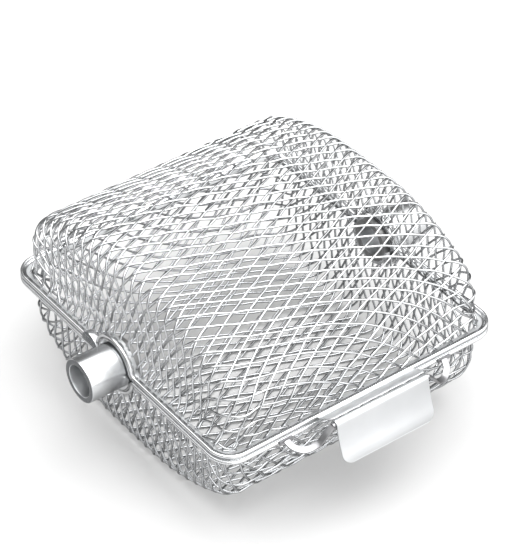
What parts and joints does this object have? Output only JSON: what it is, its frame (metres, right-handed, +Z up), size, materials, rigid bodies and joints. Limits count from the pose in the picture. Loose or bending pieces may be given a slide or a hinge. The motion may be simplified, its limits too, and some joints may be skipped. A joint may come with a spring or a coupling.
{
  "type": "rotisserie grill basket",
  "caption": "Clamshell rotisserie grill basket of woven wire with rounded-square rims, a spit collar at each end, a rear-hinged lid and a hanging finger-plate latch.",
  "frame": {"origin": "on the spit axis, halfway between the two ends, in the parting plane of the two rims; modelled closed", "axes": "+X along the spit towards the right end, +Y towards the hinges (the latch is on -Y), +Z up through the lid"},
  "size_m": [0.309, 0.3101, 0.164],
  "materials": {
    "wire_cloth": "bright drawn wire",
    "rim_steel": "polished",
    "collar_steel": "polished",
    "latch_steel": "polished",
    "hinge_steel": "satin"
  },
  "bodies": {
    "basket": {"lower_mesh": "wire_cloth", "lower_rim": "rim_steel", "lower_border_front": "rim_steel", "lower_border_back": "rim_steel", "left_collar": "collar_steel", "right_collar": "collar_steel", "left_saddle": "collar_steel", "right_saddle": "collar_steel", "latch_strap": "latch_steel", "left_strap_foot": "latch_steel", "right_strap_foot": "latch_steel", "left_hinge_lower_leaf": "hinge_steel", "right_hinge_lower_leaf": "hinge_steel", "left_hinge_pin": "hinge_steel", "right_hinge_pin": "hinge_steel"},
    "lid": {"upper_mesh": "wire_cloth", "upper_rim": "rim_steel", "upper_border_front": "rim_steel", "upper_border_back": "rim_steel", "rim_lug": "rim_steel", "latch_tongue": "latch_steel", "left_hinge_upper_leaf": "hinge_steel", "right_hinge_upper_leaf": "hinge_steel"},
    "latch": {"latch_plate": "latch_steel", "latch_sleeve": "latch_steel"}
  },
  "joints": [
    {"name": "lid_hinge", "type": "hinge", "parent": "basket", "child": "lid", "pos_m": [0, 0.1407, 0], "axis": [-1, 0, 0], "range_deg": [0, 115]},
    {"name": "latch_pivot", "type": "hinge", "parent": "basket", "child": "latch", "pos_m": [0, -0.153, 0.0074], "axis": [-1, 0, 0], "range_deg": [0, 110]}
  ]
}
